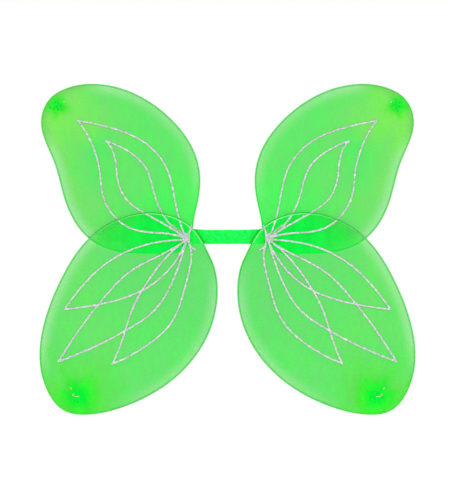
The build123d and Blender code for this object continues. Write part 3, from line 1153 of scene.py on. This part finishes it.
def ribbed_ring():
    """Section of the elastic: places across it from -1 to 1, and depths, ribbed on both faces."""
    across = np.linspace(-1, 1, STRAP_RIBS * RIB_COLUMNS + 1)
    ribs = 0.36 + 0.08 * np.abs(np.cos(across * math.pi / 2 * STRAP_RIBS))
    ribs[[0, -1]] = 0.2
    return np.concatenate([across, across[::-1]]), np.concatenate([ribs, -ribs[::-1]]) * MM


def shoulder_strap(side, sign):
    """Flat ribbed elastic, sewn down at both ends, in one loop."""
    route = smooth_route(np.array(STRAP_ROUTE) * [sign * MM, MM], 4)
    line = even_steps(route, STRAP_STEP * MM)
    length = np.arange(len(line)) * STRAP_STEP
    low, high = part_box(f"{side}_shoulder_strap")
    half = (high.z - low.z) / 2
    ahead = np.gradient(line, axis=0)
    ahead /= np.linalg.norm(ahead, axis=1)[:, None]
    outward = np.column_stack([ahead[:, 1], -ahead[:, 0]])
    free = smoothstep(10 * MM, 50 * MM, line[:, 1])
    lean = free * 0.16 * np.sin(length / 46.0 + sign)
    rise = free * 1.4 * MM * np.sin(length / 62.0 + 2 * sign)
    across, depth = ribbed_ring()
    points = []
    for place, side_way, tilt, up in zip(line, outward, lean, rise):
        z = across * half * math.cos(tilt) + up
        shift = depth + across * half * math.sin(tilt)
        flat = place + side_way * shift[:, None]
        points.append(np.column_stack([flat[:, 0], flat[:, 1], z]))
    width = len(across)
    faces = tube_faces(len(line), width, flip=sign > 0)
    made = new_mesh(f"{side}_strap_elastic", np.vstack(points), faces)
    store(made, "along", np.repeat(length, width))
    store(made, "across", np.tile(across, len(line)))
    made.data.materials.append(ELASTIC)
    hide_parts(f"{side}_shoulder_strap", f"{side}_strap_root")
    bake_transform(made)


# ---- build
NYLON = nylon_material()
BAND = band_material()
GLITTER = glitter_material()
FLAKES = flake_material()
ELASTIC = elastic_material()
FINE = 2400.0
SMALL = {
    "wire": plain_material("coated_wire", colour(104, 196, 116), colour(138, 222, 148), 0.35),
    "thread": plain_material("green_thread", colour(16, 120, 48), colour(48, 176, 84), 0.7, grain=FINE),
    "pale": plain_material("pale_thread", colour(178, 214, 172), colour(222, 240, 214), 0.7, grain=FINE),
    "silver": plain_material("silver_thread", colour(196, 188, 202), colour(250, 246, 252), 0.5, grain=FINE),
    "batting": fibre_material("batting", colour(214, 214, 208), colour(250, 250, 247), 900.0, 0.95),
    "felt": fibre_material("felt", colour(14, 150, 48), colour(40, 206, 80), 1300.0, 0.95),
    "aluminium": plain_material(
        "soft_aluminium", colour(176, 178, 182), colour(214, 216, 220), 0.38, 1.0, 500.0, (0.15, 1, 1)
    ),
}


def covered_wing(wing, seed):
    """All the visual pieces of one wing, each riding on the wing's body."""
    cover = nylon_cover(wing)
    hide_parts(f"{wing.name}_nylon_cover")
    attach(cover, wing.body)
    float(wing.area())
    line = glitter_line(wing)
    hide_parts(f"{wing.name}_glitter_veins")
    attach(line, wing.body)
    loose = line_flakes(wing, line, seed)
    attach(loose, wing.body)
    tip_thread(wing)
    tip_stitches(wing)


# Materials of the CAD nodes that show as they are: part of the node's name, and its finish
FINISH = [
    ("frame_wire", "wire"),
    ("ferrule", "wire"),
    ("stitches", "thread"),
    ("tack", "thread"),
    ("stay", "aluminium"),
]


def finish_hard_parts():
    """Give the rigid CAD nodes their materials."""
    for name, node in frame["nodes"].items():
        finish = next((key for part, key in FINISH if part in name), None)
        if finish:
            node.data.materials.clear()
            node.data.materials.append(SMALL[finish])


for index, wing in enumerate(WINGS.values()):
    covered_wing(wing, 40 + index)
band()
pad_stitches(*felt_pad())
wadding("centre_batting", "centre")
for side, sign in SIDES:
    wadding(f"{side}_arm_batting", f"{side}_arm")
    stay_bend(side)
    hub_lashing(side)
    shoulder_strap(side, sign)
finish_hard_parts()


# ---- studio
def floor():
    """Plain pale floor, well below the wings."""
    size = 12.0
    level = CAD_BOX[0].z - 0.7
    corners = [(-size, -size, level), (size, -size, level), (size, size, level), (-size, size, level)]
    made = new_mesh("floor", corners, [(0, 1, 2, 3)])
    shader = Shader("floor_paint").set(Roughness=0.9, Emission_Color=(1, 1, 1, 1), Emission_Strength=0.08)
    shader.tint(shader.mix(shader.noise(3.0, 2.0), colour(246, 246, 246), colour(251, 251, 251)))
    made.data.materials.append(shader.material)


def area_light(name, place, size, power):
    """Round soft light that points at the origin."""
    data = bpy.data.lights.new(name, "AREA")
    data.energy = power
    data.shape = "DISK"
    data.size = size
    made = placed(name, data)
    made.location = place
    made.rotation_euler = (-Vector(place)).to_track_quat("-Z", "Y").to_euler()


def studio():
    """White surroundings, two soft lights and the floor."""
    world = bpy.data.worlds.new("studio")
    bpy.context.scene.world = world
    world.use_nodes = True
    background = world.node_tree.nodes["Background"]
    background.inputs[0].default_value = (1, 1, 1, 1)
    background.inputs[1].default_value = 1.0
    area_light("key", (-0.9, -1.8, 1.5), 0.7, 5.0)
    area_light("fill", (1.2, -1.5, 0.4), 0.9, 2.5)
    floor()
    bpy.context.scene.view_settings.view_transform = "Standard"


def camera():
    """Level camera whose view at the wings' front is VIEW_HEIGHT tall."""
    data = bpy.data.cameras.new("camera")
    data.lens = LENS
    data.sensor_width = SENSOR
    distance = VIEW_HEIGHT / 2 / (SENSOR / 2 / LENS)
    made = placed("camera", data)
    made.location = (VIEW_CENTRE[0], WINGS["right_lower"].front - distance, VIEW_CENTRE[1])
    made.rotation_euler = (math.pi / 2, 0, 0)
    bpy.context.scene.camera = made


studio()
camera()
